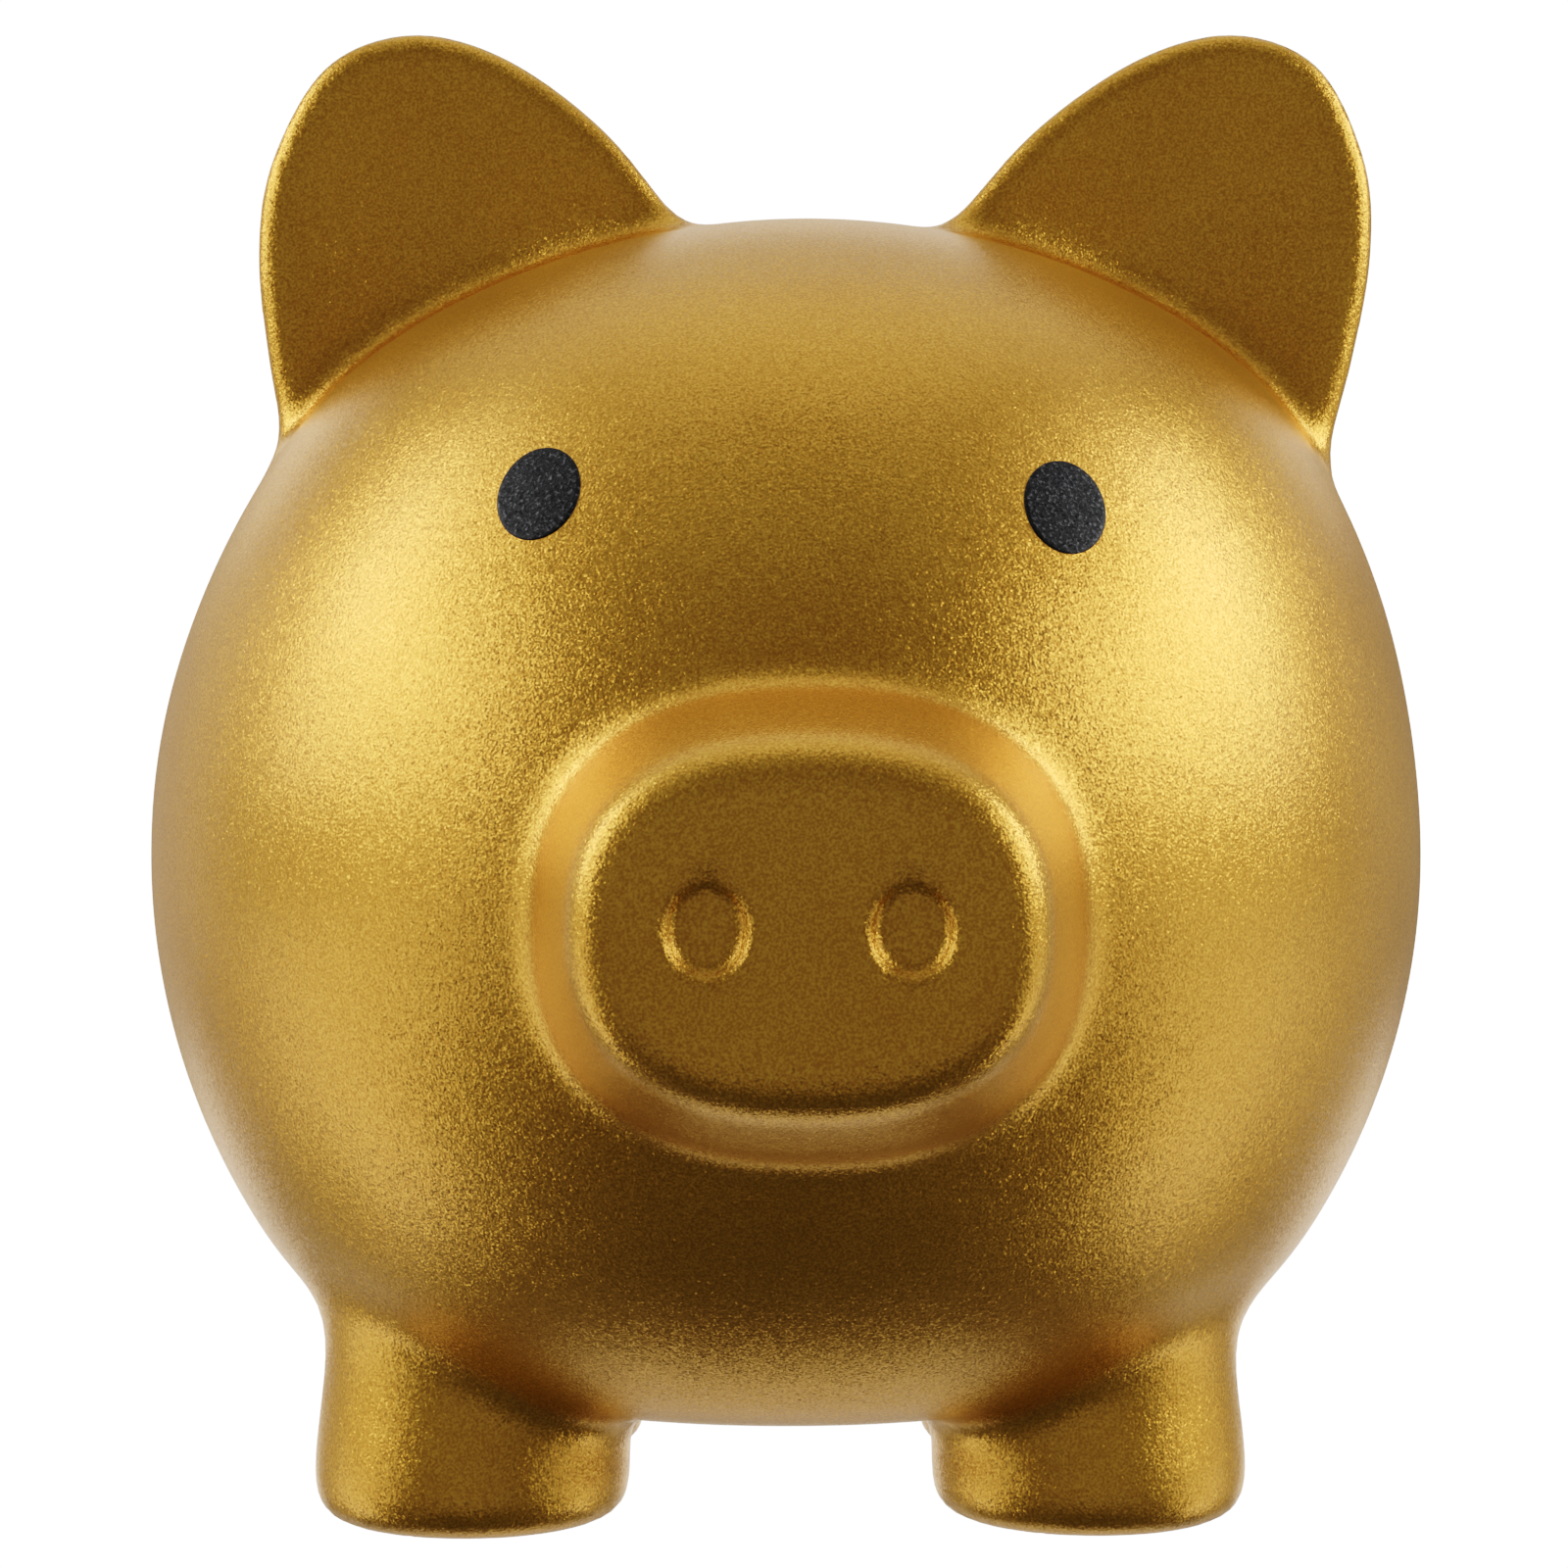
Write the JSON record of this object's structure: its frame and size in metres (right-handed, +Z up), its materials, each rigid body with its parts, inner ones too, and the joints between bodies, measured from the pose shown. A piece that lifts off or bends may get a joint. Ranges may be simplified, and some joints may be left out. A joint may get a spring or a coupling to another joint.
{
  "type": "piggy bank",
  "caption": "Ceramic money bank shaped as a round standing pig, with cupped ears, snout, coin slot in the back and a pull-out rubber plug in the belly.",
  "frame": {"origin": "on the surface the bank stands on, under the middle of its overall box", "axes": "+Z up; the pig looks along -Y, so its snout points to -Y and its tail to +Y; +X is to the right of a viewer who faces it"},
  "size_m": [0.1074, 0.138, 0.1233],
  "materials": {
    "gold_ceramic": "satin metallic gold paint with a fine grain",
    "eye_paint": "satin black paint",
    "plug_rubber": "matt, slightly milky"
  },
  "bodies": {
    "bank": {"body_shell": "gold_ceramic", "snout": "gold_ceramic", "left_ear": "gold_ceramic", "right_ear": "gold_ceramic", "tail": "gold_ceramic", "front_left_leg": "gold_ceramic", "front_right_leg": "gold_ceramic", "rear_left_leg": "gold_ceramic", "rear_right_leg": "gold_ceramic", "left_eye": "eye_paint", "right_eye": "eye_paint"},
    "stopper": {"stopper": "plug_rubber"}
  },
  "joints": [
    {"name": "stopper_pull", "type": "slide", "parent": "bank", "child": "stopper", "axis": [0, 0, -1], "range_m": [0, 0.03]}
  ]
}
